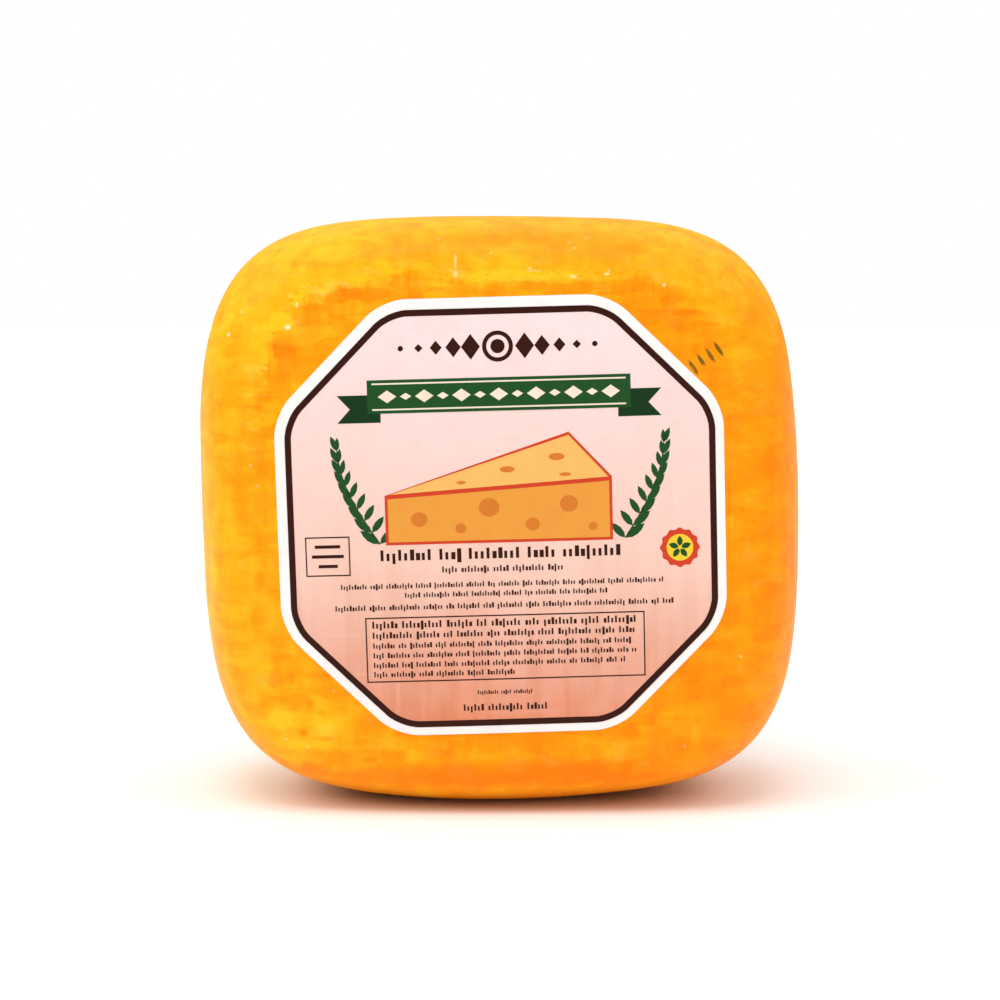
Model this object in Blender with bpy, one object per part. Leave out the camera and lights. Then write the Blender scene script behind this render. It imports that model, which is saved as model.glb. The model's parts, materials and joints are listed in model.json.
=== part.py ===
"""A whole Mahon cheese: a square wheel with pillowed edges, standing on its side, with a paper label.

Metres, +Z up. X runs across the face, Y from the labelled front face (towards -Y) to the back, and the wheel
stands on the small flat that its weight has pressed into its lowest side.
"""

import math

import bmesh
import bpy
from mathutils import Matrix, Vector

# Driving sizes of the wheel
WIDTH = 0.1941
HEIGHT = 0.1909
THICKNESS = 0.085
REST_FLAT = 0.0011  # how much of the lowest side is pressed flat

# Outline seen from the front, a superellipse with its own squareness above and below the middle
TOP_SHARE = 0.477  # share of the height that is above the widest level
TOP_SQUARENESS = 4.30
BOTTOM_SQUARENESS = 4.08
FACE_SQUARENESS = 3.70  # the pressed face has rounder corners than the outline
SAG = 0.034  # the low half is this share wider than the middle, the high half this share narrower
LEAN = math.radians(0.1)
# Hand-made unevenness of the outline: waves round it, share of the radius, direction of the first crest
OUTLINE_WAVES = (
    (2, 0.0061, math.radians(-29)),
    (3, 0.0086, math.radians(28)),
    (4, 0.0098, math.radians(-5)),
    (5, 0.0012, math.radians(-1)),
)

# Profile across the thickness: a nearly flat face, a pressed lip, and a rounded side
FACE_SHARE = 0.80  # of the outline's radius
FACE_DOME = 0.0016
LIP = 0.0005
SIDE_ROUNDNESS = 2.3

# Soft dents all over: wave direction in waves per metre, depth, phase
DENTS = (
    (Vector((9.0, 4.0, 6.0)), 0.00018, 0.4),
    (Vector((-5.0, 9.0, 11.0)), 0.00016, 2.1),
    (Vector((14.0, -7.0, -4.0)), 0.00012, 4.4),
    (Vector((3.0, 12.0, -15.0)), 0.00011, 1.3),
)

# Mesh: rings from a face's middle to the cube's edge, how many of them are flat, and cells across the side
FACE_RINGS = 16
FLAT_RINGS = 12
SIDE_CELLS = 12

# Paper label stuck on the front face, a square with its corners cut and rounded
LABEL_WIDTH = 0.1404
LABEL_HEIGHT = 0.1377
LABEL_ACROSS_CUTS = 0.1472
LABEL_CORNER_SHARPNESS = 36  # the power of a smooth maximum over the eight sides
LABEL_PAPER = 0.0005
LABEL_GAP = 0.0003
LABEL_TURN = math.radians(1.55)
LABEL_RINGS = 8
LABEL_POINTS = 64
LABEL_MIDDLE = Vector((0.0006, 0.0, -0.0038))  # from the middle of the wheel

RIND_COLOUR = (0.93, 0.42, 0.02, 1.0)
PAPER_COLOUR = (0.93, 0.72, 0.66, 1.0)


def clear_scene():
    for old in list(bpy.data.objects):
        bpy.data.objects.remove(old)


def material(name, colour, roughness):
    made = bpy.data.materials.new(name)
    made.use_nodes = True
    shader = made.node_tree.nodes["Principled BSDF"]
    shader.inputs["Base Color"].default_value = colour
    shader.inputs["Roughness"].default_value = roughness
    shader.inputs["Metallic"].default_value = 0.0
    return made


def object_from(name, bm, finish):
    mesh = bpy.data.meshes.new(name)
    bm.to_mesh(mesh)
    bm.free()
    mesh.materials.append(finish)
    mesh.shade_smooth()
    made = bpy.data.objects.new(name, mesh)
    bpy.context.scene.collection.objects.link(made)
    return made


def outline_radius(direction, turned):
    """Distance from the wheel's axis to its outline; turned is 0 at a face's edge and 1 at the side's middle."""
    above = math.sin(direction) > 0
    half_height = HEIGHT * (TOP_SHARE if above else 1 - TOP_SHARE)
    squareness = TOP_SQUARENESS if above else BOTTOM_SQUARENESS
    squareness = squareness * turned + FACE_SQUARENESS * (1 - turned)
    across = abs(math.cos(direction)) / (WIDTH / 2)
    up = abs(math.sin(direction)) / half_height
    radius = (across**squareness + up**squareness) ** (-1 / squareness)
    waves = sum(share * math.cos(count * (direction - crest)) for count, share, crest in OUTLINE_WAVES)
    return radius * (1 + waves)


def profile(ring):
    """Share of the outline, depth from the mid plane and turn of the surface, for a ring of the mesh."""
    if ring <= FLAT_RINGS:
        out = ring / FLAT_RINGS
        lip = LIP if ring == FLAT_RINGS else 0.0
        return FACE_SHARE * out, THICKNESS / 2 - FACE_DOME * out**2 + lip, 0.0
    last = FACE_RINGS + SIDE_CELLS / 2
    turn = math.pi / 2 * (ring - FLAT_RINGS) / (last - FLAT_RINGS)
    out = math.sin(turn) ** (2 / SIDE_ROUNDNESS)
    depth = max(math.cos(turn), 0.0) ** (2 / SIDE_ROUNDNESS)
    return FACE_SHARE + (1 - FACE_SHARE) * out, (THICKNESS / 2 - FACE_DOME) * depth, turn


def dent(point):
    return sum(depth * math.sin(math.tau * waves.dot(point) + phase) for waves, depth, phase in DENTS)


def wheel_point(cell):
    """Where a point of a cube of half-side 1 lies on the wheel, about the wheel's own middle."""
    square = max(abs(cell.x), abs(cell.z))
    on_side = abs(cell.y) < 1 - 1e-6
    ring = FACE_RINGS + (1 - abs(cell.y)) * SIDE_CELLS / 2 if on_side else square * FACE_RINGS
    share, depth, turn = profile(ring)
    front = math.copysign(1.0, cell.y)
    direction = math.atan2(cell.z, cell.x)
    radius = share * outline_radius(direction, math.sin(turn))
    x, z = radius * math.cos(direction), radius * math.sin(direction)
    x *= 1 - SAG * z / (HEIGHT / 2)
    point = Matrix.Rotation(-LEAN, 3, "Y") @ Vector((x, front * depth, z))
    outward = Vector((math.cos(direction), 0, math.sin(direction))) * math.sin(turn)
    outward.y = front * math.cos(turn)
    return point + outward * dent(point)


def make_wheel(finish):
    bm = bmesh.new()
    bmesh.ops.create_cube(bm, size=2)
    for axis, cells in enumerate((2 * FACE_RINGS, SIDE_CELLS, 2 * FACE_RINGS)):
        along = [e for e in bm.edges if abs((e.verts[0].co - e.verts[1].co)[axis]) > 1]
        bmesh.ops.subdivide_edges(bm, edges=along, cuts=cells - 1, use_grid_fill=True)
    for vert in bm.verts:
        vert.co = wheel_point(vert.co)
    floor = min(vert.co.z for vert in bm.verts) + REST_FLAT
    for vert in bm.verts:
        vert.co.z = max(vert.co.z, floor)
    bmesh.ops.recalc_face_normals(bm, faces=bm.faces)
    return object_from("cheese", bm, finish)


def face_depth(x, z):
    """Y of the front face at a point inside its flat part."""
    unleaned = Matrix.Rotation(LEAN, 3, "Y") @ Vector((x, 0, z))
    direction = math.atan2(unleaned.z, unleaned.x)
    out = math.hypot(unleaned.x, unleaned.z) / (FACE_SHARE * outline_radius(direction, 0.0))
    depth = -(THICKNESS / 2 - FACE_DOME * out**2)
    return depth - dent(Vector((x, depth, z)))


def label_reach(direction):
    """Distance from the label's middle to its edge."""
    total = 0.0
    for side in range(8):
        across = LABEL_ACROSS_CUTS if side % 2 else (LABEL_WIDTH, LABEL_HEIGHT)[side // 2 % 2]
        facing = max(math.cos(direction - side * math.pi / 4), 0.0)
        total += (facing / (across / 2)) ** LABEL_CORNER_SHARPNESS
    return total ** (-1 / LABEL_CORNER_SHARPNESS)


def make_label(finish):
    """A sheet of paper, bent onto the face's dome."""
    bm = bmesh.new()
    rings = []
    for ring in range(LABEL_RINGS + 1):
        points = LABEL_POINTS if ring else 1
        rings.append([])
        for step in range(points):
            direction = math.tau * step / points
            reach = label_reach(direction) * ring / LABEL_RINGS
            place = LABEL_MIDDLE.copy()
            place.x += reach * math.cos(direction + LABEL_TURN)
            place.z += reach * math.sin(direction + LABEL_TURN)
            place.y = face_depth(place.x, place.z) - LABEL_GAP
            rings[-1].append(bm.verts.new(place))
    for step in range(LABEL_POINTS):
        after = (step + 1) % LABEL_POINTS
        bm.faces.new((rings[0][0], rings[1][step], rings[1][after]))
        for inner, outer in zip(rings[1:], rings[2:]):
            bm.faces.new((inner[step], outer[step], outer[after], inner[after]))
    label = object_from("label", bm, finish)
    paper = label.modifiers.new("Paper", "SOLIDIFY")
    paper.thickness = LABEL_PAPER
    paper.offset = 1.0
    return label


def stand_on_floor(parts):
    """Puts the origin under the middle of everything, on the floor."""
    bpy.context.view_layer.update()
    graph = bpy.context.evaluated_depsgraph_get()
    corners = [Vector(corner) for part in parts for corner in part.evaluated_get(graph).bound_box]
    low = Vector(min(corner[axis] for corner in corners) for axis in range(3))
    high = Vector(max(corner[axis] for corner in corners) for axis in range(3))
    middle = (low + high) / 2
    for part in parts:
        part.data.transform(Matrix.Translation((-middle.x, -middle.y, -low.z)))


def main():
    clear_scene()
    cheese = make_wheel(material("carotene_rind", RIND_COLOUR, 0.35))
    label = make_label(material("label_paper", PAPER_COLOUR, 0.55))
    stand_on_floor([cheese, label])


main()
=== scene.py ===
"""A whole cheese wheel with a coated orange rind and a printed paper label, on a pale studio floor.

Metres, +Z up. X runs across the labelled face, which looks towards -Y, and the wheel stands at Z 0.
"""

import json
import math

import bpy
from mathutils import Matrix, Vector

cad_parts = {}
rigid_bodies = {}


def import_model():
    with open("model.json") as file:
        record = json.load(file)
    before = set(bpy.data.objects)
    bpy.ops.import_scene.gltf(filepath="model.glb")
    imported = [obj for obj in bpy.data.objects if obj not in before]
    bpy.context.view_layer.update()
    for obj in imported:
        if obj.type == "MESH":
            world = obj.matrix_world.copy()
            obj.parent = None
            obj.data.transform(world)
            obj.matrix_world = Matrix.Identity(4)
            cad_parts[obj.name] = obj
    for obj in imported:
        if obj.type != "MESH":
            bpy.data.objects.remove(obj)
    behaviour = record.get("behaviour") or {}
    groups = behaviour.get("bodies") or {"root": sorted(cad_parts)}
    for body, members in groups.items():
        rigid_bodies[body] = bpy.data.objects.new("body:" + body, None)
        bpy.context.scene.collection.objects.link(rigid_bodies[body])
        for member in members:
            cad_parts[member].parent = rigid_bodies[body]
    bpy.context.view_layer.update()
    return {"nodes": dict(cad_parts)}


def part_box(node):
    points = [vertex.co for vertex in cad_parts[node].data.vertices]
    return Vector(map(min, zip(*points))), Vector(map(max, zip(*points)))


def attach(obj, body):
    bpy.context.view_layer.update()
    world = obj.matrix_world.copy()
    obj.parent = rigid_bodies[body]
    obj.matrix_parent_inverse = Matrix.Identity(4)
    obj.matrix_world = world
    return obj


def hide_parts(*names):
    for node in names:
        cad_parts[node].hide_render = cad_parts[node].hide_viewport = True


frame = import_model()
LABEL_LOW, LABEL_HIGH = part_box("label")

bl_info = {
    "name": "Labelled Cheese Wheel",
    "version": (1, 0, 0),
    "blender": (4, 5, 0),
    "location": "View3D > Sidebar > Cheese",
    "description": "Dresses a cheese wheel with its coated rind and its printed paper label",
    "category": "Add Mesh",
}

MM = 0.001
UPRIGHT = (math.radians(90), 0, 0)  # turns a flat primitive so that it faces -Y
COLOUR = {"size": 3, "subtype": "COLOR", "min": 0, "max": 1}  # what every colour setting shares

# Half width and half height of the wheel, from which the rind's finish tells face, edge and side
HALF_WIDTH = 97.2 * MM
HALF_HEIGHT = 95.5 * MM

# The paper's back reaches just into the rind, and each ink into the paper or the ink under it
PAPER = 0.45 * MM
PAPER_FRONT = 0.38 * MM  # height of the paper's front above the rind
INK = 0.06 * MM
FIRST_INK_FRONT = 0.43 * MM
INK_STEP = 0.04 * MM  # how much higher the next ink's front lies
SLIVER = 0.001 * MM  # cuts and merges take points closer than this as one

FLOOR_SIZE = 12.0
AIM = (-0.2 * MM, -42.5 * MM, 100.3 * MM)  # what the camera looks at
SENSOR = 36  # width of the camera's sensor in millimetres
FRAME_SHIFT = (0.0008, 0.006)  # moves the object to its place in the frame
WHITE = (1.0, 1.0, 1.0, 1.0)


# Settings


class WheelSettings(bpy.types.PropertyGroup):
    """The coated rind"""

    relief: bpy.props.FloatProperty(
        name="Relief", description="Depth of the soft unevenness of the rind",
        default=0.25 * MM, unit="LENGTH",
    )
    relief_size: bpy.props.FloatProperty(
        name="Relief Size", description="Width of one hollow or swelling of the rind",
        default=17 * MM, unit="LENGTH",
    )
    deep: bpy.props.FloatVectorProperty(
        name="Deep Tone", description="Rind where the coating is thick", default=(0.97, 0.235, 0.0),
        **COLOUR,
    )
    middle: bpy.props.FloatVectorProperty(
        name="Middle Tone", description="Most of the rind", default=(0.98, 0.345, 0.002), **COLOUR
    )
    light: bpy.props.FloatVectorProperty(
        name="Light Tone", description="Rind where the coating is thin", default=(0.98, 0.56, 0.012),
        **COLOUR,
    )
    worn: bpy.props.FloatVectorProperty(
        name="Worn Tone", description="Rubbed places along the face's edge", default=(0.98, 0.72, 0.16),
        **COLOUR,
    )
    speck: bpy.props.FloatVectorProperty(
        name="Speck Tone", description="Pale specks and drips", default=(0.99, 0.87, 0.50), **COLOUR
    )
    crease: bpy.props.FloatVectorProperty(
        name="Crease Tone", description="Creases and pits, where the coating gathers",
        default=(0.72, 0.17, 0.0),
        **COLOUR,
    )


class LabelSettings(bpy.types.PropertyGroup):
    """The paper label and its print"""

    width: bpy.props.FloatProperty(
        name="Width", description="Width of the paper", default=140.4 * MM, unit="LENGTH"
    )
    height: bpy.props.FloatProperty(
        name="Height", description="Height of the paper", default=137.7 * MM, unit="LENGTH"
    )
    across_cuts: bpy.props.FloatProperty(
        name="Across Cuts", description="Distance between two opposite cut corners",
        default=147.2 * MM, unit="LENGTH",
    )
    corner_radius: bpy.props.FloatProperty(
        name="Corner Radius", description="Rounding of the eight corners", default=18 * MM, unit="LENGTH"
    )
    border: bpy.props.FloatProperty(
        name="Border", description="Width of the white border", default=2.95 * MM, unit="LENGTH"
    )
    line: bpy.props.FloatProperty(
        name="Line", description="Width of the brown line inside the border", default=2.0 * MM, unit="LENGTH"
    )
    turn: bpy.props.FloatProperty(
        name="Turn", description="How far the label is turned on the face",
        default=math.radians(1.55), unit="ROTATION",
    )
    middle: bpy.props.FloatVectorProperty(
        name="Middle", description="Middle of the paper across the face and upwards", size=2, unit="LENGTH",
        default=((LABEL_LOW[0] + LABEL_HIGH[0]) / 2, (LABEL_LOW[2] + LABEL_HIGH[2]) / 2),
    )
    print_shift: bpy.props.FloatVectorProperty(
        name="Print Shift", description="How far the print sits off the paper's middle",
        size=2, unit="LENGTH",
        default=(0.25 * MM, -0.4 * MM),
    )
    paper: bpy.props.FloatVectorProperty(
        name="Paper", description="White of the unprinted border", default=(0.925, 0.905, 0.90), **COLOUR
    )
    ground_top: bpy.props.FloatVectorProperty(
        name="Ground Top", description="Printed ground along the top", default=(0.92, 0.735, 0.745),
        **COLOUR,
    )
    ground_middle: bpy.props.FloatVectorProperty(
        name="Ground Middle", description="Printed ground a little below the middle",
        default=(0.88, 0.59, 0.50),
        **COLOUR,
    )
    ground_bottom: bpy.props.FloatVectorProperty(
        name="Ground Bottom", description="Printed ground along the bottom", default=(0.75, 0.265, 0.14),
        **COLOUR,
    )
    brown: bpy.props.FloatVectorProperty(
        name="Brown Ink", description="Ink of the line and the small print", default=(0.034, 0.006, 0.002),
        **COLOUR,
    )
    green: bpy.props.FloatVectorProperty(
        name="Green Ink", description="Ink of the ribbon and the sprigs", default=(0.012, 0.075, 0.018),
        **COLOUR,
    )
    gold: bpy.props.FloatVectorProperty(
        name="Gold Ink", description="Ink of the cheese picture", default=(0.80, 0.335, 0.05), **COLOUR
    )
    red: bpy.props.FloatVectorProperty(
        name="Red Ink", description="Ink of the outlines and the rosette", default=(0.62, 0.055, 0.02),
        **COLOUR,
    )
    dark_green: bpy.props.FloatVectorProperty(
        name="Dark Green Ink", description="Ink of the ribbon's folded tails", default=(0.006, 0.036, 0.009),
        **COLOUR,
    )
    pale_gold: bpy.props.FloatVectorProperty(
        name="Pale Gold Ink", description="Ink of the cheese picture's top", default=(0.88, 0.50, 0.14),
        **COLOUR,
    )
    deep_gold: bpy.props.FloatVectorProperty(
        name="Deep Gold Ink", description="Ink of the holes", default=(0.66, 0.20, 0.025), **COLOUR
    )
    yellow: bpy.props.FloatVectorProperty(
        name="Yellow Ink", description="Ink of the rosette's middle", default=(0.92, 0.62, 0.04), **COLOUR
    )
    cream: bpy.props.FloatVectorProperty(
        name="Cream Ink", description="Ink of the rules on the ribbon", default=(0.86, 0.76, 0.62), **COLOUR
    )


class StudioSettings(bpy.types.PropertyGroup):
    """Floor, lights and camera"""

    distance: bpy.props.FloatProperty(
        name="Camera Distance", description="From the labelled face to the camera",
        default=0.65, unit="LENGTH",
    )
    look_down: bpy.props.FloatProperty(
        name="Look Down", description="Angle of the camera below the horizon", default=math.radians(6.5),
        unit="ROTATION",
    )
    lens: bpy.props.FloatProperty(
        name="Lens", description="Focal length in millimetres", default=74.84, min=10
    )
    around: bpy.props.FloatProperty(
        name="Light Around", description="Strength of the soft light at the height of the object",
        default=0.275, min=0,
    )
    overhead: bpy.props.FloatProperty(
        name="Light Overhead", description="How much stronger the soft light is straight above",
        default=1.37, min=0,
    )
    key: bpy.props.FloatProperty(
        name="Key Light", description="Strength of the steep soft light in front of the wheel",
        default=0.76, min=0,
    )
    left: bpy.props.FloatProperty(
        name="Left Light", description="Strength of the wide light at the left", default=0.90, min=0
    )
    right: bpy.props.FloatProperty(
        name="Right Light", description="Strength of the wide light at the right", default=0.58, min=0
    )


# Node helpers


def add_node(tree, kind, inputs=None, **values):
    """A node with its settings; inputs are given by name or number, as a value or as a socket to join."""
    made = tree.nodes.new(kind)
    for name, value in values.items():
        setattr(made, name, value)
    for name, value in (inputs or {}).items():
        if isinstance(value, bpy.types.NodeSocket):
            tree.links.new(value, made.inputs[name])
        else:
            made.inputs[name].default_value = value
    return made


def calculate(tree, operation, first, second=0.0, third=0.0, clamp=False):
    made = add_node(tree, "ShaderNodeMath", {0: first, 1: second, 2: third}, operation=operation)
    made.use_clamp = clamp
    return made.outputs[0]


def times(tree, first, second):
    return calculate(tree, "MULTIPLY", first, second)


def between(tree, value, low, high, smooth=True):
    """0 below low and 1 above high; with low above high it falls instead."""
    made = add_node(
        tree, "ShaderNodeMapRange", {0: value, 1: low, 2: high, 3: 0.0, 4: 1.0},
        interpolation_type="SMOOTHSTEP" if smooth else "LINEAR",
    )
    if low > high:
        for name, number in ((1, high), (2, low), (3, 1.0), (4, 0.0)):
            made.inputs[name].default_value = number
    return made.outputs[0]


def blend(tree, share, first, second):
    made = add_node(tree, "ShaderNodeMix", {0: share, 6: first, 7: second}, data_type="RGBA")
    return made.outputs[2]


def add_layers(tree, value, layers):
    """Adds layers to a value, each by its own amount."""
    for layer, amount in layers:
        value = calculate(tree, "MULTIPLY_ADD", layer, amount, value)
    return value


def sway(tree, value, clouds):
    """Moves a value up and down with clouds, each by up to half of its depth."""
    for cloud, depth in clouds:
        value = add_layers(tree, calculate(tree, "SUBTRACT", value, depth / 2), [(cloud, depth)])
    return value


def object_place(tree, stretch=(1, 1, 1), shift=(0, 0, 0), turn=(0, 0, 0)):
    place = add_node(tree, "ShaderNodeTexCoord").outputs["Object"]
    made = add_node(tree, "ShaderNodeMapping", {0: place, 1: shift, 2: turn, 3: stretch})
    return made.outputs[0]


def cloudy(tree, place, scale, detail=3.0, roughness=0.55):
    values = {"Vector": place, "Scale": scale, "Detail": detail, "Roughness": roughness}
    return add_node(tree, "ShaderNodeTexNoise", values).outputs[0]


def rgba(colour):
    return (*colour, 1.0)


def new_finish(name):
    finish = bpy.data.materials.new(name)
    finish.use_nodes = True
    return finish, finish.node_tree, finish.node_tree.nodes["Principled BSDF"]


# Shared effects


def new_group(name, inputs, outputs):
    """A node group with its inputs, each with a default, and its outputs; also gives both ends."""
    group = bpy.data.node_groups.new(name, "ShaderNodeTree")
    for socket, default in inputs:
        made = group.interface.new_socket(socket, in_out="INPUT", socket_type="NodeSocketFloat")
        made.default_value = default
    for socket in outputs:
        group.interface.new_socket(socket, in_out="OUTPUT", socket_type="NodeSocketFloat")
    given = group.nodes.new("NodeGroupInput").outputs
    return group, given, group.nodes.new("NodeGroupOutput").inputs


def mould_grid():
    """Node group: the grid that the mould pressed in, which shows through the paper too, and a fine grain."""
    known = bpy.data.node_groups.get("Mould Grid")
    if known:
        return known
    group, given, result = new_group(
        "Mould Grid", (("Pitch", 12.6 * MM), ("Width", 0.9 * MM), ("Grain Scale", 900.0)),
        ("Height", "Crease"),
    )
    place = object_place(group, turn=(0, math.radians(1.0), 0))
    wander = cloudy(group, place, 22.0, 2.0)
    apart = add_node(group, "ShaderNodeSeparateXYZ", {0: place}).outputs
    lines = []
    for axis, shift, patch_stretch in ((0, 5.1 * MM, (24, 1, 9)), (2, 2.0 * MM, (9, 1, 24))):
        along = calculate(group, "MULTIPLY_ADD", wander, 2.2 * MM, apart[axis])
        along = calculate(group, "ADD", along, shift)
        off = calculate(group, "PINGPONG", along, calculate(group, "DIVIDE", given["Pitch"], 2.0))
        line = calculate(group, "SUBTRACT", 1.0, calculate(group, "DIVIDE", off, given["Width"]), clamp=True)
        patch = cloudy(group, object_place(group, patch_stretch, (axis * 3.0, 0, 1.7)), 2.0, 2.0)
        line = times(group, line, between(group, patch, 0.45, 0.68))
        lines.append(line)
    crease = calculate(group, "MAXIMUM", *lines)
    grain = cloudy(group, place, given["Grain Scale"], 2.0, 0.6)
    pillow = cloudy(group, place, 75.0, 2.0, 0.5)
    height = calculate(group, "MULTIPLY_ADD", crease, -0.55, pillow)
    height = calculate(group, "MULTIPLY_ADD", grain, 0.05, height)
    group.links.new(height, result["Height"])
    group.links.new(crease, result["Crease"])
    return group


def pressed_cloth():
    """Node group: the fine weave of the draining cloth, pressed here and there into the rind."""
    group, given, result = new_group(
        "Pressed Cloth", (("Thread Pitch", 1.4 * MM), ("Patch Scale", 26.0)), ("Height",)
    )
    place = object_place(group, turn=(0, math.radians(-4), 0))
    wander = cloudy(group, place, 40.0, 2.0)
    apart = add_node(group, "ShaderNodeSeparateXYZ", {0: place}).outputs
    turns = calculate(group, "DIVIDE", math.tau, given["Thread Pitch"])
    threads = []
    for axis in (0, 2):
        along = calculate(group, "MULTIPLY_ADD", wander, 4 * MM, apart[axis])
        threads.append(calculate(group, "SINE", times(group, along, turns)))
    weave = calculate(group, "ADD", *threads)
    patch = between(group, cloudy(group, place, given["Patch Scale"], 2.0), 0.44, 0.64)
    group.links.new(times(group, weave, patch), result["Height"])
    return group


# Finishes


# Pale marks on the front of the rind: x, z, half width and half height in millimetres, and strength
PALE_MARKS = (
    (-65.9, 155.9, 1.0, 0.8, 0.85),  # rubbed spot beside the face's edge
    (-63.0, 162.8, 0.5, 0.9, 0.6),
    (-85.0, 153.5, 0.6, 0.7, 0.6),
    (-13.8, 176.4, 0.5, 2.4, 0.30),  # drip
    (-13.8, 172.4, 0.7, 1.2, 0.40),
    (10.5, 173.4, 2.6, 0.4, 0.20),
    (22.8, 171.6, 1.2, 0.5, 0.5),
    (33.1, 172.4, 1.0, 0.45, 0.6),
    (50.9, 169.0, 0.6, 0.6, 0.5),
)
# Lighter and darker patches of the coating, given alike, and how much each lightens it; the dark band low on
# the front is painted shade
PATCHES = (
    (-67.5, 156.5, 4.4, 3.8, 0.30),
    (-69.6, 32.0, 5.0, 4.4, 0.34),
    (-56.5, 31.0, 8.0, 3.0, 0.34),
    (-63.0, 23.0, 11.0, 1.8, 0.30),
    (-34.0, 24.2, 7.0, 2.6, 0.30),
    (-27.0, 20.6, 3.2, 2.6, 0.26),
    (18.0, 23.0, 26.0, 2.4, 0.16),
    (0.0, 172.0, 18.0, 1.6, 0.16),
    (-95.0, 100.0, 5.0, 60.0, 0.14),
    (-61.7, 176.7, 10.0, 3.4, -0.16),
    (-42.0, 169.5, 10.0, 1.9, 0.18),
    (12.0, 171.5, 22.0, 1.6, 0.22),
    (0.0, 183.4, 40.0, 2.8, -0.28),
    (-78.0, 103.0, 5.0, 16.0, -0.20),
    # painted shade: darkens the band low on the front, where the rind turns down away from the light
    (0.0, 13.5, 50.0, 4.2, -0.40),
    (62.0, 34.0, 9.0, 6.0, 0.16),
    (-62.0, 30.0, 10.0, 8.0, 0.14),
    (-60.0, 37.2, 1.3, 1.3, -0.42),
    (-62.4, 27.6, 1.3, 1.2, -0.42),
    (-55.5, 25.6, 3.4, 0.7, -0.30),
    (-41.5, 18.6, 2.2, 1.0, -0.34),
    (-66.0, 45.5, 1.0, 1.6, -0.30),
    (-55.0, 46.2, 5.5, 0.9, -0.26),
    (-71.5, 150.0, 3.2, 1.4, -0.20),
    (-73.5, 134.5, 2.4, 1.8, -0.22),
    (-64.0, 148.0, 2.4, 3.6, -0.20),
    (58.0, 160.5, 4.5, 0.9, -0.34),
    (64.0, 157.0, 4.0, 0.9, -0.34),
    (61.0, 149.0, 2.6, 2.2, -0.30),
)


def mark(tree, x, z, width, height, turn=0.0, soft=0.55):
    """A soft oval on the front of the wheel, in millimetres: 1 in its middle and 0 round it."""
    place = add_node(tree, "ShaderNodeTexCoord").outputs["Object"]
    near = add_node(
        tree, "ShaderNodeMapping",
        {0: place, 1: (x * MM, 0, z * MM), 2: (0, turn, 0), 3: (width * MM, 1000, height * MM)},
        vector_type="TEXTURE",
    ).outputs[0]
    away = add_node(tree, "ShaderNodeVectorMath", {0: near}, operation="LENGTH").outputs["Value"]
    depth = add_node(tree, "ShaderNodeSeparateXYZ", {0: place}).outputs[1]
    return times(tree, between(tree, away, 1.8 - soft, soft), between(tree, depth, 0.0, -0.02))


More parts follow.
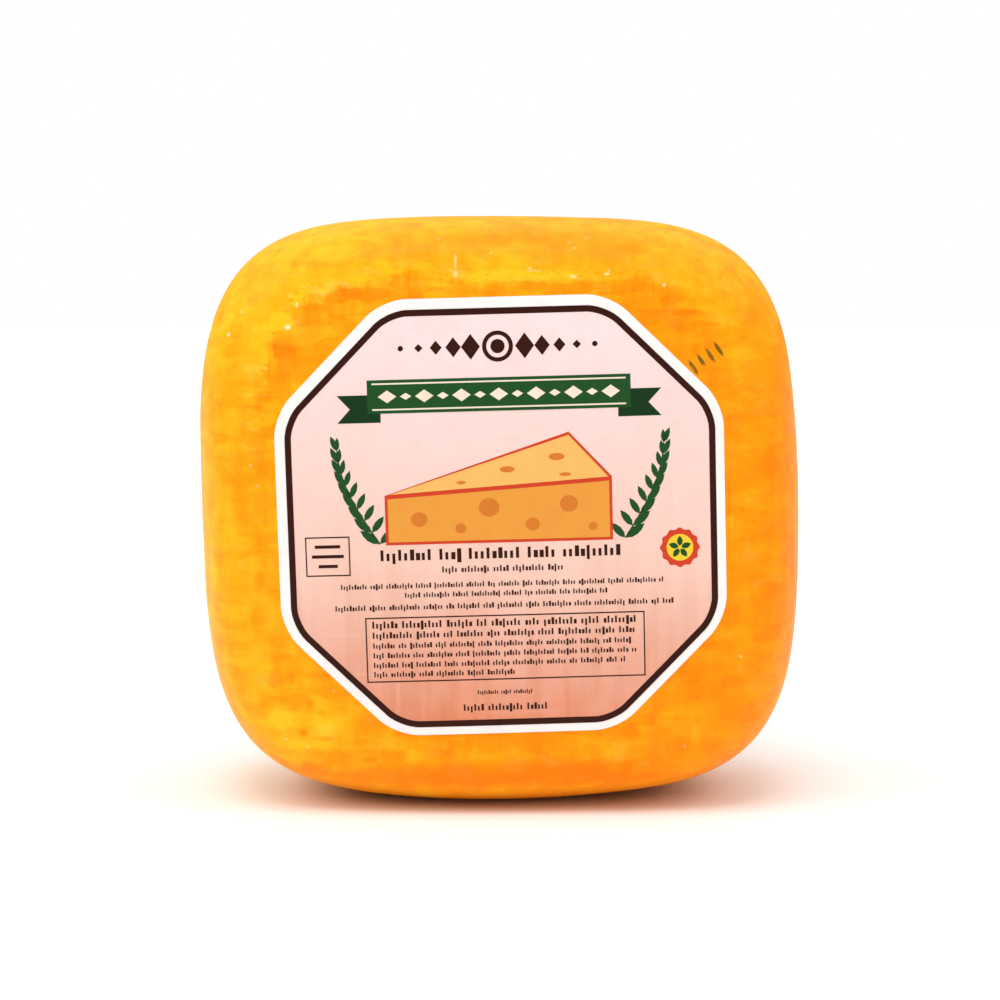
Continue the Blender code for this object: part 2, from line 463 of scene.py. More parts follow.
def rind_finish(wheel):
    """Thin orange coating over the pressed rind, mottled, semi-gloss, rubbed pale along the face's edge."""
    finish, tree, shader = new_finish("Coated rind")
    place = object_place(tree)
    # How far out on the wheel a point lies: 0 at the axis, 1 at the outline, 0.8 at the face's edge
    centred = object_place(tree, (1 / HALF_WIDTH, 1, 1 / HALF_HEIGHT), (0, 0, -1))
    apart = add_node(tree, "ShaderNodeSeparateXYZ", {0: centred}).outputs
    across = calculate(tree, "POWER", calculate(tree, "ABSOLUTE", apart[0]), 4.0)
    up = calculate(tree, "POWER", calculate(tree, "ABSOLUTE", apart[2]), 4.0)
    share = calculate(tree, "POWER", calculate(tree, "ADD", across, up), 0.25)
    # Mottling: sideways and upright streaks that cross in soft blocks, and broad patches
    level = cloudy(tree, object_place(tree, (1, 1, 3.6)), 58.0, 3.0, 0.5)
    upright = cloudy(tree, object_place(tree, (3.8, 3.8, 1), (0.3, 0, 0.1)), 55.0, 3.0, 0.5)
    broad = cloudy(tree, object_place(tree, shift=(0.7, 0.2, 0.4)), 16.0, 2.0, 0.5)
    fine = cloudy(tree, object_place(tree, (1, 1, 1.5), (0.1, 0.4, 0)), 210.0, 3.0, 0.6)
    blocks = add_node(
        tree, "ShaderNodeTexVoronoi",
        {
            "Vector": object_place(tree, (1, 1, 1.5), (0.2, 0, 0.3)), "Scale": 150.0, "Smoothness": 0.22,
            "Randomness": 0.9,
        },
        feature="SMOOTH_F1", distance="CHEBYCHEV",
    ).outputs["Color"]
    blocks = calculate(tree, "SUBTRACT", add_node(tree, "ShaderNodeSeparateXYZ", {0: blocks}).outputs[0], 0.5)
    tone = sway(tree, 0.0, ((level, 0.66), (upright, 0.60), (broad, 0.60), (fine, 0.34)))
    # The face's edge wanders with the blocks, and is pressed sharpest at the upper left
    wander = cloudy(tree, object_place(tree, shift=(0.2, 0.6, 0.3)), 75.0, 1.0)
    share = sway(tree, share, ((level, 0.075), (upright, 0.065), (wander, 0.10)))
    clear = calculate(tree, "MULTIPLY_ADD", apart[0], -0.35, apart[2])
    clear = between(tree, clear, 0.30, 0.95)
    outside = times(tree, between(tree, share, 0.768, 0.812), clear)
    faint = times(tree, between(tree, share, 0.72, 0.86), calculate(tree, "SUBTRACT", 0.35, clear))
    outside = calculate(tree, "ADD", outside, calculate(tree, "MAXIMUM", faint, 0.0))
    ridge = times(tree, outside, between(tree, share, 0.88, 0.80))
    inside = times(tree, between(tree, share, 0.66, 0.74), between(tree, share, 0.812, 0.768))
    inside = times(tree, inside, calculate(tree, "MULTIPLY_ADD", clear, 0.75, 0.25))
    # The coating is thinner at the corners, and the tone is painted lighter towards the upper left and darker
    # low down: painted light and shade from a light at the upper left
    corner = times(tree, calculate(tree, "ABSOLUTE", apart[0]), calculate(tree, "ABSOLUTE", apart[2]))
    tone = add_layers(tree, tone, (
        (between(tree, corner, 0.22, 0.62), 0.16), (apart[0], -0.21), (apart[2], 0.09), (ridge, 0.20),
        (inside, -0.13), (blocks, calculate(tree, "MULTIPLY_ADD", inside, 0.36, 0.20)),
    ))
    patches = [(mark(tree, *patch[:4], soft=0.2), patch[4]) for patch in PATCHES]
    tone = calculate(tree, "ADD", add_layers(tree, tone, patches), 0.40)
    tones = add_node(tree, "ShaderNodeValToRGB", {0: tone})
    stops = tones.color_ramp.elements
    stops[0].position, stops[0].color = 0.0, rgba(wheel.deep)
    stops[1].position, stops[1].color = 1.0, rgba(wheel.light)
    stops.new(0.45).color = rgba(wheel.middle)
    colour = tones.outputs[0]
    # The grid of the mould, pressed in as fine darker creases
    grid = add_node(tree, "ShaderNodeGroup", {"Pitch": 6.3 * MM, "Width": 0.45 * MM}, node_tree=mould_grid())
    crease = times(tree, grid.outputs["Crease"], calculate(tree, "MULTIPLY_ADD", inside, 0.55, 0.07))
    colour = blend(tree, crease, colour, rgba(wheel.crease))
    # Fine scratches across the face's edge, pale and dark
    scratch = cloudy(tree, object_place(tree, (1, 1, 2.4), (0.6, 0, 0.2)), 420.0, 3.0, 0.6)
    narrow = times(tree, between(tree, share, 0.76, 0.80), between(tree, share, 0.87, 0.81))
    narrow = times(tree, narrow, calculate(tree, "MULTIPLY_ADD", clear, 0.42, 0.04))
    rubbed = times(tree, mark(tree, 6.0, 172.2, 36.0, 2.6, soft=0.3), 0.60)
    narrow = calculate(tree, "MAXIMUM", narrow, rubbed)
    colour = blend(tree, times(tree, between(tree, scratch, 0.60, 0.70), narrow), colour, rgba(wheel.worn))
    colour = blend(
        tree, times(tree, between(tree, scratch, 0.40, 0.32), narrow), colour, rgba(wheel.crease)
    )
    # Rubbed places and pale specks, mostly along the face's edge
    rub = between(tree, cloudy(tree, object_place(tree, (1, 1, 1.6)), 120.0, 4.0, 0.6), 0.50, 0.70)
    rub = times(tree, rub, calculate(tree, "MULTIPLY_ADD", ridge, 0.30, 0.03))
    colour = blend(tree, rub, colour, rgba(wheel.worn))
    cells = add_node(tree, "ShaderNodeTexVoronoi", {"Vector": place, "Scale": 135.0, "Randomness": 1.0})
    often = between(tree, cloudy(tree, object_place(tree, shift=(0.1, 0.5, 0.2)), 33.0, 1.0), 0.52, 0.60)
    speck = times(tree, between(tree, cells.outputs["Distance"], 0.11, 0.05), often)
    speck = times(tree, speck, calculate(tree, "MULTIPLY_ADD", ridge, 0.65, 0.20))
    for x, z, width, height, strength in PALE_MARKS:
        speck = calculate(tree, "MAXIMUM", speck, times(tree, mark(tree, x, z, width, height), strength))
    colour = blend(tree, speck, colour, rgba(wheel.speck))
    pits = add_node(
        tree, "ShaderNodeTexVoronoi",
        {"Vector": object_place(tree, (1, 1, 1.4), (0.3, 0.1, 0.6)), "Scale": 190.0, "Randomness": 1.0},
    )
    seldom = between(tree, cloudy(tree, object_place(tree, shift=(0.9, 0.5, 0.7)), 40.0, 1.0), 0.54, 0.62)
    pit = times(tree, between(tree, pits.outputs["Distance"], 0.16, 0.05), seldom)
    pit = times(tree, pit, calculate(tree, "MULTIPLY_ADD", ridge, 0.45, 0.22))
    colour = blend(tree, pit, colour, rgba(wheel.crease))
    # A gap-toothed dark seam where the face's edge is pressed in
    seam = times(tree, between(tree, share, 0.764, 0.786), between(tree, share, 0.804, 0.788))
    torn = between(tree, cloudy(tree, object_place(tree, shift=(0.4, 0.2, 0)), 190.0, 3.0, 0.6), 0.48, 0.62)
    seam = times(tree, times(tree, seam, torn), times(tree, clear, 0.26))
    colour = blend(tree, seam, colour, rgba(wheel.crease))
    # Worn dark strokes beside the label
    ink = 0.0
    for step in range(5):
        stroke = mark(tree, 57.6 + 2.6 * step, 141.6 + 1.9 * step, 0.7, 2.8, math.radians(-35), 0.6)
        ink = calculate(tree, "MAXIMUM", ink, stroke)
    patchy = between(tree, cloudy(tree, object_place(tree, shift=(0.5, 0.1, 0)), 700.0, 2.0), 0.22, 0.44)
    ink = times(tree, times(tree, ink, patchy), 0.85)
    colour = blend(tree, ink, colour, (0.085, 0.075, 0.010, 1.0))
    tree.links.new(colour, shader.inputs["Base Color"])
    # Relief of the coating, the creases and the cloth's weave
    cloth = add_node(tree, "ShaderNodeGroup", node_tree=pressed_cloth()).outputs["Height"]
    height = add_layers(tree, times(tree, upright, 1.4), (
        (level, 2.0), (fine, 0.5), (cloth, 0.03), (crease, -1.2), (speck, 0.5), (pit, -1.0), (outside, 0.8),
        (seam, -1.2),
    ))
    bump = add_node(tree, "ShaderNodeBump", {"Strength": 0.8, "Distance": 0.2 * MM, "Height": height})
    tree.links.new(bump.outputs[0], shader.inputs["Normal"])
    gloss = calculate(tree, "MULTIPLY_ADD", level, 0.22, 0.32)
    tree.links.new(gloss, shader.inputs["Roughness"])
    shader.inputs["Specular IOR Level"].default_value = 0.09
    return finish


def paper_finish(name, colour, rise=()):
    """Coated paper or ink with the mould's grid; rise lists heights and the colours to fade through."""
    finish, tree, shader = new_finish(name)
    creases = add_node(tree, "ShaderNodeGroup", node_tree=mould_grid()).outputs
    fibre = between(tree, cloudy(tree, object_place(tree), 160.0, 3.0), 0.42, 0.75)
    tone, shaded = rgba(colour), rgba(share * part for share, part in zip((0.90, 0.84, 0.86), colour))
    if rise:
        drift = cloudy(tree, object_place(tree, (1, 1, 0.6)), 26.0, 2.0)
        height = add_node(tree, "ShaderNodeSeparateXYZ", {0: object_place(tree)}).outputs[2]
        height = calculate(tree, "MULTIPLY_ADD", calculate(tree, "SUBTRACT", drift, 0.5), 22 * MM, height)
        low, high = rise[0][0], rise[-1][0]
        ramp = add_node(tree, "ShaderNodeValToRGB", {0: between(tree, height, low, high, smooth=False)})
        stops = ramp.color_ramp.elements
        stops[0].color, stops[1].color = rgba(rise[0][1]), rgba(rise[-1][1])
        for place, between_tone in rise[1:-1]:
            stops.new((place - low) / (high - low)).color = rgba(between_tone)
        # Upright bands where the paper lies damp on the rind, strongest low down
        bands = cloudy(tree, object_place(tree, (5.5, 1, 0.5), (0.2, 0, 0)), 26.0, 3.0, 0.55)
        bands = times(tree, between(tree, bands, 0.40, 0.66), between(tree, height, 0.115, 0.045))
        band = add_node(tree, "ShaderNodeMix", {0: 1.0, 6: ramp.outputs[0], 7: (0.90, 0.82, 0.76, 1.0)},
                        data_type="RGBA", blend_type="MULTIPLY").outputs[2]
        tone = blend(tree, times(tree, bands, 0.75), ramp.outputs[0], band)
        tone = blend(tree, times(tree, creases["Crease"], 0.10), tone, (0.90, 0.82, 0.80, 1.0))
        shaded = (0.80, 0.50, 0.44, 1.0)
        fibre = times(tree, fibre, 0.5)
    tone = blend(tree, times(tree, fibre, 0.3), tone, shaded)
    tree.links.new(tone, shader.inputs["Base Color"])
    values = {"Strength": 0.6, "Distance": 0.16 * MM, "Height": creases["Height"]}
    bump = add_node(tree, "ShaderNodeBump", values)
    tree.links.new(bump.outputs[0], shader.inputs["Normal"])
    shader.inputs["Roughness"].default_value = 0.45
    shader.inputs["Specular IOR Level"].default_value = 0.12
    return finish


# Modelling helpers


def make_active(piece):
    bpy.ops.object.select_all(action="DESELECT")
    piece.select_set(True)
    bpy.context.view_layer.objects.active = piece


def apply_modifier(piece, kind, **values):
    """Adds a modifier, sets it and applies it."""
    made = piece.modifiers.new(kind.title(), kind)
    for name, value in values.items():
        setattr(made, name, value)
    bpy.ops.object.modifier_apply(modifier=made.name)


def select_vertices(piece, chosen):
    """Enters edit mode with only the vertices selected whose place is chosen."""
    bpy.ops.object.mode_set(mode="EDIT")
    bpy.ops.mesh.select_mode(type="VERT")
    bpy.ops.mesh.select_all(action="DESELECT")
    bpy.ops.object.mode_set(mode="OBJECT")
    for vertex in piece.data.vertices:
        vertex.select = chosen(vertex.co)
    bpy.ops.object.mode_set(mode="EDIT")


def start_piece(name):
    """An empty piece in edit mode, for primitives to be added to."""
    piece = bpy.data.objects.new(name, bpy.data.meshes.new(name))
    bpy.context.scene.collection.objects.link(piece)
    make_active(piece)
    bpy.ops.object.mode_set(mode="EDIT")
    return piece


def add_bar(x, z, width, height):
    bpy.ops.mesh.select_all(action="DESELECT")
    bpy.ops.mesh.primitive_plane_add(size=1, location=(x, 0, z), rotation=UPRIGHT)
    bpy.ops.transform.resize(value=(width, 1, height), center_override=(x, 0, z))


def add_disc(x, z, width, height=None, points=32):
    bpy.ops.mesh.select_all(action="DESELECT")
    bpy.ops.mesh.primitive_circle_add(
        vertices=points, radius=0.5, fill_type="NGON", location=(x, 0, z), rotation=UPRIGHT
    )
    bpy.ops.transform.resize(value=(width, 1, height or width), center_override=(x, 0, z))


def add_plate(corners):
    """A flat plate cut from a square along the lines between its corners, which turn anticlockwise."""
    x = sum(corner[0] for corner in corners) / len(corners)
    z = sum(corner[1] for corner in corners) / len(corners)
    reach = 2.2 * max(math.hypot(corner[0] - x, corner[1] - z) for corner in corners)
    add_bar(x, z, reach, reach)
    for start, end in zip(corners, corners[1:] + corners[:1]):
        run, rise = end[0] - start[0], end[1] - start[1]
        side = math.hypot(run, rise)
        bpy.ops.mesh.select_linked()
        bpy.ops.mesh.bisect(
            plane_co=(start[0], 0, start[1]), plane_no=(rise / side, 0, -run / side), clear_outer=True,
            threshold=SLIVER,
        )
    bpy.ops.mesh.select_linked()


def add_leaf(x, z, length, width, angle):
    """A leaf with two pointed ends, turned up from the horizontal by an angle."""
    cos, sin = math.cos(angle), math.sin(angle)
    outline = []
    for along, off in (
        (-1, 0), (-0.55, -0.8), (0, -1), (0.5, -0.72), (1, 0), (0.5, 0.72), (0, 1), (-0.55, 0.8),
    ):
        right, rise = along * length / 2, off * width / 2
        outline.append((x + right * cos - rise * sin, z + right * sin + rise * cos))
    add_plate(outline)


def add_diamond(x, z, width, height):
    add_plate([(x - width, z), (x, z - height), (x + width, z), (x, z + height)])


def add_stroke(start, end, width):
    """A thin straight stroke between two places."""
    run, rise = end[0] - start[0], end[1] - start[1]
    side = math.hypot(run, rise)
    across, up = -rise / side * width / 2, run / side * width / 2
    add_plate([
        (start[0] - across, start[1] - up), (end[0] - across, end[1] - up),
        (end[0] + across, end[1] + up), (start[0] + across, start[1] + up),
    ])


def add_stroke_row(number, z, left, right, size):
    """A row of fine upright strokes in groups, the height of small print."""

    def step(place):
        return math.floor((place.x - left) / pitch + 0.5)

    pitch = 0.56 * size
    bpy.ops.object.select_all(action="DESELECT")
    bpy.ops.mesh.primitive_plane_add(size=1, location=(left, 0, z), rotation=UPRIGHT)
    row = bpy.context.object
    row.scale = (0.28 * size, 0.70 * size, 1)
    bpy.ops.object.transform_apply(location=True, rotation=True, scale=True)
    apply_modifier(
        row, "ARRAY", count=int((right - left) / pitch), use_relative_offset=False, use_constant_offset=True,
        constant_offset_displace=(pitch, 0, 0),
    )
    # Leave gaps between the groups, and make some strokes taller, deeper or wider
    gap, group = 0, number
    bounds = set()
    while gap < len(row.data.polygons):
        group += 1
        gap += 4 + (group * 5) % 9
        bounds.add(gap)
    select_vertices(row, lambda place: step(place) in bounds)
    bpy.ops.mesh.delete(type="VERT")
    bpy.ops.object.mode_set(mode="OBJECT")
    for chosen, move in (
        (lambda place: place.z > z and step(place) * 7 % 5 < 2, (0, 0, 0.34 * size)),
        (lambda place: place.z < z and step(place) * 7 % 11 == 3, (0, 0, -0.30 * size)),
        (
            lambda place: place.x > left + step(place) * pitch and step(place) * 3 % 7 in (1, 4),
            (0.12 * size, 0, 0),
        ),
    ):
        select_vertices(row, chosen)
        bpy.ops.transform.translate(value=move)
        bpy.ops.object.mode_set(mode="OBJECT")
    return row


def add_ring(x, z, width, height, line, points=48):
    """A flat ring, or with 4 points an outlined box."""
    if points == 4:
        add_bar(x, z, width, height)
    else:
        add_disc(x, z, width, height, points)
    bpy.ops.mesh.inset(thickness=line, use_even_offset=True)
    bpy.ops.mesh.delete(type="FACE")


def add_label_outline(label, inset=0.0):
    """The rounded eight-sided outline of the label, drawn in by a distance."""
    width, height = label.width - 2 * inset, label.height - 2 * inset
    across = label.across_cuts - 2 * inset
    add_bar(0, 0, width, height)
    bpy.ops.mesh.bevel(affect="VERTICES", offset=(width + height) / 2 - across / math.sqrt(2), segments=1)
    bpy.ops.mesh.select_all(action="SELECT")
    radius = max(label.corner_radius - inset, 4 * MM)
    bpy.ops.mesh.bevel(affect="VERTICES", offset=radius * math.tan(math.radians(22.5)), segments=10)
    bpy.ops.mesh.select_all(action="SELECT")


def cut_into_cells(piece, pitch=5 * MM):
    """Cuts a flat piece along an even grid, so that it can bend onto the face as the paper under it does."""
    for axis in (0, 2):
        low = min(vertex.co[axis] for vertex in piece.data.vertices)
        high = max(vertex.co[axis] for vertex in piece.data.vertices)
        across = [0.0, 0.0, 0.0]
        across[axis] = 1.0
        bpy.ops.object.mode_set(mode="EDIT")
        for step in range(math.floor(low / pitch) + 1, math.ceil(high / pitch)):
            bpy.ops.mesh.select_all(action="SELECT")
            middle = [step * pitch * share for share in across]
            bpy.ops.mesh.bisect(plane_co=middle, plane_no=across, threshold=SLIVER)
        bpy.ops.object.mode_set(mode="OBJECT")


def lay_on_face(piece, height, thickness, finish, shift=True):
    """Brings a flat piece to the label's place, bent onto the face with its front above the rind."""
    label = bpy.context.scene.label_settings
    bpy.ops.object.mode_set(mode="OBJECT")
    cut_into_cells(piece)
    make_active(piece)
    off = label.print_shift if shift else (0.0, 0.0)
    piece.location = (label.middle[0] + off[0], -0.06, label.middle[1] + off[1])
    piece.rotation_euler = (0, -label.turn, 0)
    bpy.ops.object.transform_apply(location=True, rotation=True, scale=True)
    apply_modifier(
        piece, "SHRINKWRAP", target=frame["nodes"]["cheese"], wrap_method="PROJECT", use_project_y=True,
        use_positive_direction=True, use_negative_direction=False, offset=height,
    )
    apply_modifier(piece, "SOLIDIFY", thickness=thickness, offset=-1.0)
    bpy.ops.object.shade_smooth_by_angle(angle=math.radians(35))
    piece.data.materials.append(finish)
    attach(piece, "root")


def print_layer(name, finish, level, draw):
    """One ink of the print: draw adds its flat shapes, and level says how many inks lie under it."""
    piece = start_piece(name)
    draw()
    lay_on_face(piece, FIRST_INK_FRONT + INK_STEP * level, INK, finish)


def at(x, z):
    """A place on the label, in millimetres from its middle."""
    return x * MM, z * MM


# Rows of small print: height, left and right end, and size, in millimetres from the label's middle
SMALL_PRINT = (
    (-11.2, -38.0, 38.0, 3.3),
    (-15.8, -19.0, 20.0, 1.8),
    (-20.6, -51.0, 51.0, 1.5),
    (-23.6, -31.0, 33.0, 1.5),
    (-27.4, -53.0, 54.0, 1.6),
    (-33.0, -41.5, 42.0, 2.1),
    (-36.3, -41.5, 41.5, 1.9),
    (-39.6, -41.5, 40.5, 1.6),
    (-42.7, -41.5, 42.0, 1.6),
    (-45.8, -41.5, 39.0, 1.6),
    (-48.8, -41.5, 4.0, 1.6),
    (-55.2, -9.0, 9.0, 1.2),
    (-60.2, -13.5, 13.5, 2.0),
)


# Operators


class CHEESE_OT_make_rind(bpy.types.Operator):
    """Smooth the wheel, give it a soft uneven surface and coat it"""

    bl_idname = "cheese.make_rind"
    bl_label = "Make Rind"

    def execute(self, context):
        wheel = context.scene.wheel_settings
        piece = bpy.data.objects.new("rind", frame["nodes"]["cheese"].data.copy())
        context.scene.collection.objects.link(piece)
        make_active(piece)
        piece.data.materials.clear()
        bpy.ops.mesh.customdata_custom_splitnormals_clear()
        bpy.ops.object.mode_set(mode="EDIT")
        bpy.ops.mesh.select_all(action="SELECT")
        bpy.ops.mesh.remove_doubles(threshold=SLIVER)
        bpy.ops.mesh.tris_convert_to_quads(face_threshold=math.radians(40), shape_threshold=math.radians(60))
        bpy.ops.object.mode_set(mode="OBJECT")
        apply_modifier(piece, "SUBSURF", levels=2, render_levels=2)
        hollows = bpy.data.textures.new("Rind hollows", "CLOUDS")
        hollows.noise_scale = wheel.relief_size
        hollows.noise_depth = 2
        apply_modifier(piece, "DISPLACE", texture=hollows, strength=wheel.relief, mid_level=0.5)
        # The floor presses the lowest side flat again
        select_vertices(piece, lambda place: place.z < 0.1 * MM)
        bpy.ops.transform.resize(value=(1, 1, 0), center_override=(0, 0, 0))
        bpy.ops.object.mode_set(mode="OBJECT")
        bpy.ops.object.shade_smooth()
        piece.data.materials.append(rind_finish(wheel))
        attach(piece, "root")
        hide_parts("cheese")
        return {"FINISHED"}


class CHEESE_OT_lay_label_paper(bpy.types.Operator):
    """Cut the white label paper and lay it on the front face"""

    bl_idname = "cheese.lay_label_paper"
    bl_label = "Lay Label Paper"

    def execute(self, context):
        label = context.scene.label_settings
        piece = start_piece("label_sheet")
        add_label_outline(label)
        finish = paper_finish("Label paper", label.paper)
        lay_on_face(piece, PAPER_FRONT, PAPER, finish, shift=False)
        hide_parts("label")
        return {"FINISHED"}


class CHEESE_OT_print_ground(bpy.types.Operator):
    """Print the fading ground and the brown line round it"""

    bl_idname = "cheese.print_ground"
    bl_label = "Print Ground and Line"

    def execute(self, context):
        label = context.scene.label_settings
        rise = ((0.030, label.ground_bottom), (0.080, label.ground_middle), (0.155, label.ground_top))
        ground = paper_finish("Printed ground", label.ground_middle, rise)
        inset = label.border + label.line / 2
        print_layer("print_ground", ground, 0, lambda: add_label_outline(label, inset))

        def draw_line():
            add_label_outline(label, label.border)
            bpy.ops.mesh.inset(thickness=label.line, use_even_offset=True)
            bpy.ops.mesh.delete(type="FACE")

        print_layer("print_line", paper_finish("Brown ink", label.brown), 1, draw_line)
        return {"FINISHED"}


class CHEESE_OT_print_cheese_picture(bpy.types.Operator):
    """Print the wedge of cheese with its holes, in gold inside a red outline"""

    bl_idname = "cheese.print_cheese_picture"
    bl_label = "Print Cheese Picture"

    def execute(self, context):
        label = context.scene.label_settings

        def draw_outline():
            add_plate([at(-36.6, 8.2), at(-36.6, -7.4), at(34.6, -7.4), at(34.6, 12.6), at(21.4, 26.9)])

        def draw_side():
            add_plate([at(-35.7, 7.1), at(-35.7, -6.5), at(33.7, -6.5), at(33.7, 11.2)])

        def draw_top():
            add_plate([at(-35.0, 8.5), at(33.5, 12.5), at(21.3, 25.9)])

        def draw_holes():
            for x, z, width, height in (
                (-26, 0.5, 5.2, 4.6), (-13, -2.6, 3.4, 3.2), (-4, 3.8, 6.4, 5.8), (9.5, -1.8, 4.4, 4.2),
                (21, 4.4, 5.6, 5.2), (28.4, -3.0, 2.8, 2.6), (2.0, 15.6, 4.6, 1.9), (17.5, 19.2, 5.0, 2.2),
                (-12.5, 11.8, 3.0, 1.0), (20.0, 13.6, 3.6, 1.2),
            ):
                add_disc(x * MM, z * MM, width * MM, height * MM, 24)

        print_layer("print_wedge_outline", paper_finish("Red ink", label.red), 1, draw_outline)
        print_layer("print_wedge_side", paper_finish("Gold ink", label.gold), 2, draw_side)
        print_layer("print_wedge_top", paper_finish("Pale gold ink", label.pale_gold), 2, draw_top)
        print_layer("print_wedge_holes", paper_finish("Deep gold ink", label.deep_gold), 3, draw_holes)
        return {"FINISHED"}


class CHEESE_OT_print_ribbon(bpy.types.Operator):
    """Print the green ribbon, its cream rules and the sprigs beside the picture"""

    bl_idname = "cheese.print_ribbon"
    bl_label = "Print Ribbon and Sprigs"

    def execute(self, context):
        label = context.scene.label_settings

        def draw_tails():
            for side in (-1, 1):
                for corners in (
                    [at(37.0, 31.2), at(50.5, 31.2), at(46.5, 35.5), at(37.0, 35.5)],
                    [at(37.0, 35.5), at(46.5, 35.5), at(50.5, 39.8), at(37.0, 39.8)],
                ):
                    corners = [(side * x, z) for x, z in corners]
                    add_plate(corners if side > 0 else corners[::-1])

        def draw_band():
            add_bar(0, 39.2 * MM, 82 * MM, 10.4 * MM)

        def draw_rules():
            for z in (43.2, 35.2):
                add_bar(0, z * MM, 79 * MM, 0.5 * MM)
            for step in range(-6, 7):
                width, height = (1.8, 1.1) if step % 2 else (2.9, 2.0)
                add_diamond(step * 5.8 * MM, 39.2 * MM, width * MM, height * MM)

        def draw_sprigs():
            for side in (-1, 1):
                before = None
                for step in range(9):
                    angle = math.radians(11 * step)
                    x, z = side * (38.5 + 12.5 * math.sin(angle)) * MM, (-7.0 + 3.7 * step) * MM
                    if before:
                        add_stroke(before, (x, z), 0.5 * MM)
                    before = (x, z)
                    for lean, off, long in ((36 + 4 * step, 1, 7.4), (132 - 5 * step, -1, 6.6)):
                        lean, long = math.radians(lean), (long - 0.3 * step) * MM
                        along, rise = side * 0.52 * long * math.cos(lean), 0.52 * long * math.sin(lean)
                        add_leaf(x + along, z + rise, long, 0.36 * long, lean if side > 0 else math.pi - lean)

        green = paper_finish("Green ink", label.green)
        print_layer("print_ribbon_tails", paper_finish("Dark green ink", label.dark_green), 1, draw_tails)
        print_layer("print_ribbon", green, 2, draw_band)
        print_layer("print_ribbon_rules", paper_finish("Cream ink", label.cream), 3, draw_rules)
        print_layer("print_sprigs", green, 1, draw_sprigs)
        return {"FINISHED"}


class CHEESE_OT_print_small_print(bpy.types.Operator):
    """Print the rows of fine strokes, the outlined boxes and the ornament at the top"""

    bl_idname = "cheese.print_small_print"
    bl_label = "Print Small Print"

    def execute(self, context):
        brown = bpy.data.materials["Brown ink"]
        rows = [
            add_stroke_row(number, *(size * MM for size in row)) for number, row in enumerate(SMALL_PRINT)
        ]
        make_active(rows[0])
        for row in rows:
            row.select_set(True)
        bpy.ops.object.join()
        rows[0].name = rows[0].data.name = "print_small_print"
        lay_on_face(rows[0], FIRST_INK_FRONT + INK_STEP, INK, brown)

        def draw_rules():
            add_ring(0, -40.7 * MM, 88 * MM, 20.8 * MM, 0.4 * MM, 4)
            for side in (-1, 1):
                for step in range(1, 5):
                    width, height = (3.5 - 0.55 * step) * MM, (4.9 - 0.9 * step) * MM
                    add_diamond(side * (3.0 + 5.4 * step) * MM, 54 * MM, width, height)
                add_disc(side * 30.2 * MM, 54 * MM, 1.7 * MM, points=16)
            add_ring(0, 54 * MM, 9.6 * MM, 9.6 * MM, 1.3 * MM)
            add_disc(0, 54 * MM, 4.4 * MM)

        print_layer("print_rules", brown, 1, draw_rules)
        return {"FINISHED"}


class CHEESE_OT_print_marks(bpy.types.Operator):
    """Print the rosette and the small outlined box at the sides"""

    bl_idname = "cheese.print_marks"
    bl_label = "Print Side Marks"

    def execute(self, context):
        label = context.scene.label_settings
        x, z = at(55.5, -10.5)

        def draw_scallops():
            add_disc(x, z, 13.0 * MM, points=24)
            step = math.tau / 24
            select_vertices(
                context.object, lambda place: round(math.atan2(place.z - z, place.x - x) / step) % 2 == 1
            )
            bpy.ops.transform.resize(value=(0.86, 0.86, 0.86), center_override=(x, 0, z))
            bpy.ops.mesh.select_all(action="SELECT")
            bpy.ops.mesh.bevel(affect="VERTICES", offset=0.6 * MM, segments=3)

        def draw_middle():
            add_disc(x, z, 8.4 * MM)

        def draw_petals():
            for step in range(5):
                angle = math.tau * step / 5 + 0.31
                right, rise = 2.05 * MM * math.cos(angle), 2.05 * MM * math.sin(angle)
                add_leaf(x + right, z + rise, 3.2 * MM, 1.8 * MM, angle)

        def draw_box():
            add_ring(-55.0 * MM, -10.5 * MM, 14.0 * MM, 12.5 * MM, 0.4 * MM, 4)
            for low, width in ((-7.4, 8.0), (-10.5, 10.0), (-13.6, 6.0)):
                add_bar(-55.0 * MM, low * MM, width * MM, 1.0 * MM)

        print_layer("print_rosette", bpy.data.materials["Red ink"], 1, draw_scallops)
        print_layer("print_rosette_middle", paper_finish("Yellow ink", label.yellow), 2, draw_middle)
        print_layer("print_rosette_petals", bpy.data.materials["Green ink"], 3, draw_petals)
        print_layer("print_side_box", bpy.data.materials["Brown ink"], 1, draw_box)
        return {"FINISHED"}


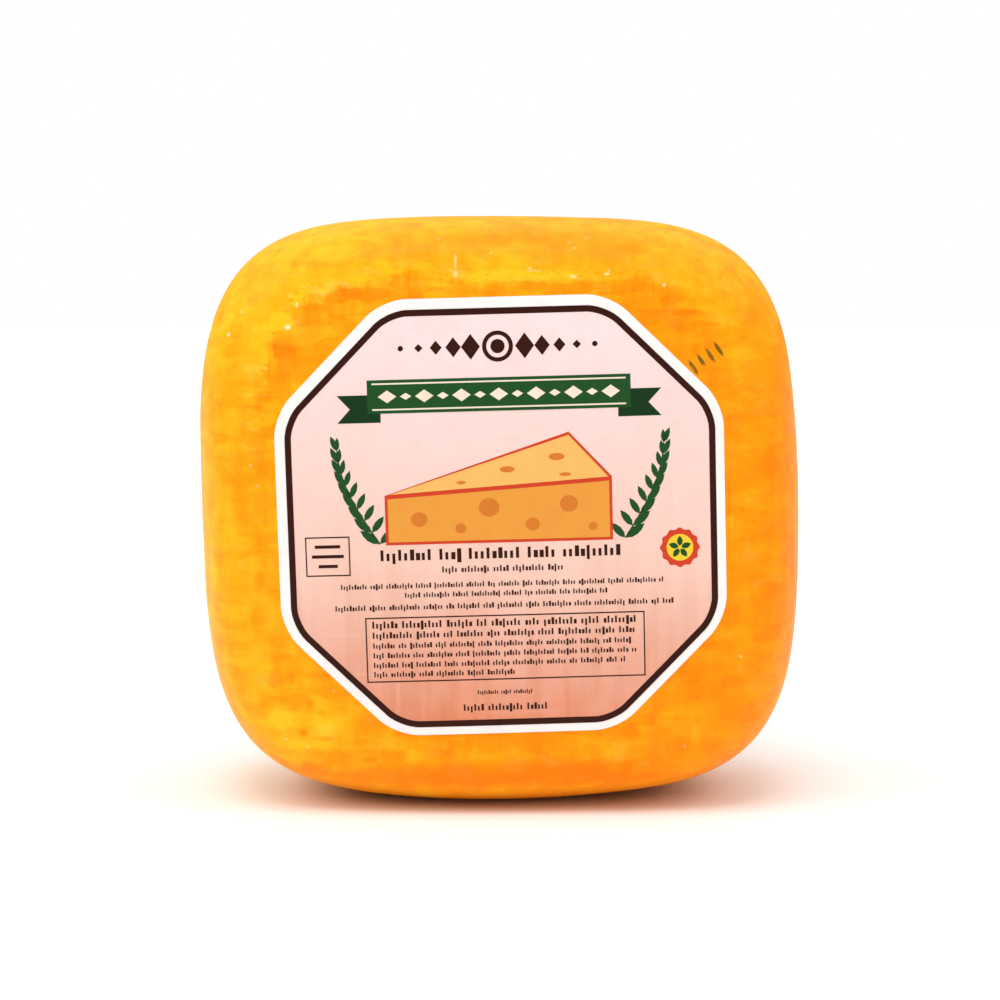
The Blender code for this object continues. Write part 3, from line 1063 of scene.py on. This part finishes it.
class CHEESE_OT_set_stage(bpy.types.Operator):
    """Lay the floor, set the soft lights and place the camera"""

    bl_idname = "cheese.set_stage"
    bl_label = "Set Stage"

    def execute(self, context):
        studio = context.scene.studio_settings
        bpy.ops.object.select_all(action="DESELECT")
        bpy.ops.mesh.primitive_plane_add(size=FLOOR_SIZE, location=(0, 0, 0))
        floor = context.object
        floor.name = "floor"
        finish, tree, shader = new_finish("Pale floor")
        clouds = cloudy(tree, object_place(tree), 3.0, 2.0)
        shade = blend(tree, clouds, (0.90, 0.90, 0.89, 1), (0.93, 0.93, 0.92, 1))
        tree.links.new(shade, shader.inputs["Base Color"])
        shader.inputs["Roughness"].default_value = 0.6
        shader.inputs["Specular IOR Level"].default_value = 0.2
        floor.data.materials.append(finish)

        # Soft light from all round, brighter overhead; the camera sees the background plain white
        world = bpy.data.worlds.new("Soft Light")
        context.scene.world = world
        world.use_nodes = True
        tree = world.node_tree
        toward = add_node(tree, "ShaderNodeTexCoord").outputs["Generated"]
        rise = add_node(tree, "ShaderNodeSeparateXYZ", {0: toward}).outputs[2]
        rise = calculate(tree, "MAXIMUM", rise, 0.0)
        strength = times(tree, rise, rise)
        strength = calculate(tree, "MULTIPLY_ADD", strength, studio.overhead, studio.around)
        low = calculate(tree, "DIVIDE", studio.around, strength)
        warm = blend(tree, low, WHITE, (1.0, 0.84, 0.74, 1))
        seen = add_node(tree, "ShaderNodeLightPath").outputs["Is Camera Ray"]
        background = tree.nodes["Background"]
        tree.links.new(blend(tree, seen, warm, WHITE), background.inputs[0])
        tree.links.new(calculate(tree, "MAXIMUM", strength, seen), background.inputs[1])

        # Name, strength, width, angle from straight above, and turn from the front, in degrees
        for name, energy, width, tilt, turn in (
            ("Key light", studio.key, 26, 20, -12),
            ("Left light", studio.left, 40, 50, -75),
            ("Right light", studio.right, 40, 50, 75),
        ):
            bpy.ops.object.light_add(type="SUN", location=(0, 0, 1.6))
            light = context.object
            light.name = name
            light.data.energy = energy
            light.data.angle = math.radians(width)
            light.rotation_euler = (math.radians(tilt), 0, math.radians(turn))

        down = studio.look_down
        back, up = studio.distance * math.cos(down), studio.distance * math.sin(down)
        place = (AIM[0], AIM[1] - back, AIM[2] + up)
        bpy.ops.object.camera_add(location=place, rotation=(math.radians(90) - down, 0, 0))
        camera = context.object
        camera.data.lens = studio.lens
        camera.data.sensor_width = SENSOR
        camera.data.shift_x, camera.data.shift_y = FRAME_SHIFT
        camera.data.clip_start = 0.01
        context.scene.camera = camera
        context.scene.view_settings.view_transform = "Standard"
        return {"FINISHED"}


class CHEESE_PT_build(bpy.types.Panel):
    """The steps that build the cheese, and its sizes and colours"""

    bl_label = "Labelled Cheese Wheel"
    bl_idname = "CHEESE_PT_build"
    bl_space_type = "VIEW_3D"
    bl_region_type = "UI"
    bl_category = "Cheese"

    def draw(self, context):
        for group, _ in SETTINGS:
            settings = getattr(context.scene, group)
            box = self.layout.box()
            for name in settings.bl_rna.properties.keys():
                if name not in ("rna_type", "name"):
                    box.prop(settings, name)
        for step in STEPS:
            self.layout.operator(step.bl_idname)


SETTINGS = (
    ("wheel_settings", WheelSettings),
    ("label_settings", LabelSettings),
    ("studio_settings", StudioSettings),
)
STEPS = (
    CHEESE_OT_make_rind,
    CHEESE_OT_lay_label_paper,
    CHEESE_OT_print_ground,
    CHEESE_OT_print_cheese_picture,
    CHEESE_OT_print_ribbon,
    CHEESE_OT_print_small_print,
    CHEESE_OT_print_marks,
    CHEESE_OT_set_stage,
)


def register():
    for name, kind in SETTINGS:
        bpy.utils.register_class(kind)
        setattr(bpy.types.Scene, name, bpy.props.PointerProperty(type=kind))
    for kind in (*STEPS, CHEESE_PT_build):
        bpy.utils.register_class(kind)


def unregister():
    for kind in (CHEESE_PT_build, *reversed(STEPS)):
        bpy.utils.unregister_class(kind)
    for name, kind in reversed(SETTINGS):
        delattr(bpy.types.Scene, name)
        bpy.utils.unregister_class(kind)


def main():
    register()
    bpy.ops.cheese.make_rind()
    bpy.ops.cheese.lay_label_paper()
    bpy.ops.cheese.print_ground()
    bpy.ops.cheese.print_cheese_picture()
    bpy.ops.cheese.print_ribbon()
    bpy.ops.cheese.print_small_print()
    bpy.ops.cheese.print_marks()
    bpy.ops.cheese.set_stage()


if __name__ == "__main__":
    main()
